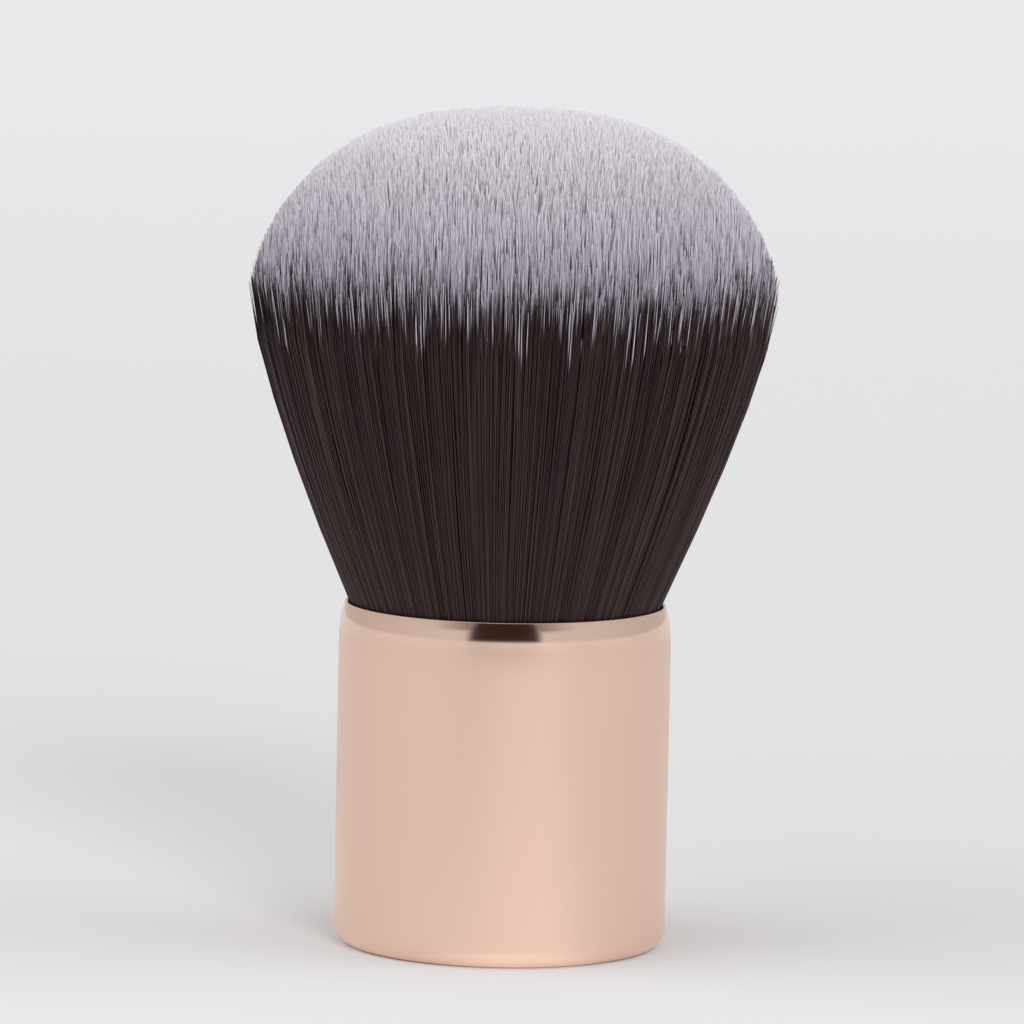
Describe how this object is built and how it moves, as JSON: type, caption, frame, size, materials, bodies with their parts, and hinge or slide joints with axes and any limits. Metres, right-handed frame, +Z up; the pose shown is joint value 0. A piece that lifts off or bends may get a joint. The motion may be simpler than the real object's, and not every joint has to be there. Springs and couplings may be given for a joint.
{
  "type": "kabuki makeup brush",
  "caption": "Short kabuki makeup brush: dense flared bristle dome set in a stubby metal barrel handle with a rolled mouth and closed base.",
  "frame": {"origin": "centre of the base face, which the brush stands on", "axes": "+Z up the brush's axis from the base to the bristle tips; the brush is round, so +X and +Y are free"},
  "size_m": [0.0472, 0.0472, 0.0757],
  "materials": {
    "rose_gold_metal": "satin anodised, polished at the mouth",
    "foam_tape": "matte",
    "steel_weight": "turned",
    "moulded_core": "moulded",
    "adhesive": "cured, semi-clear",
    "cup_metal": "drawn",
    "resin": "cast",
    "binding_thread": "wound",
    "bristle": "fine synthetic fibre, dark with pale tips"
  },
  "bodies": {
    "root": {"handle_shell": "rose_gold_metal", "base_tape": "foam_tape", "base_weight": "steel_weight", "handle_core": "moulded_core", "core_adhesive": "adhesive", "knot_cup": "cup_metal", "rim_adhesive": "adhesive", "resin_plug": "resin", "knot_binding": "binding_thread", "bristles_outer": "bristle", "bristles_middle": "bristle", "bristles_inner": "bristle"}
  },
  "joints": []
}
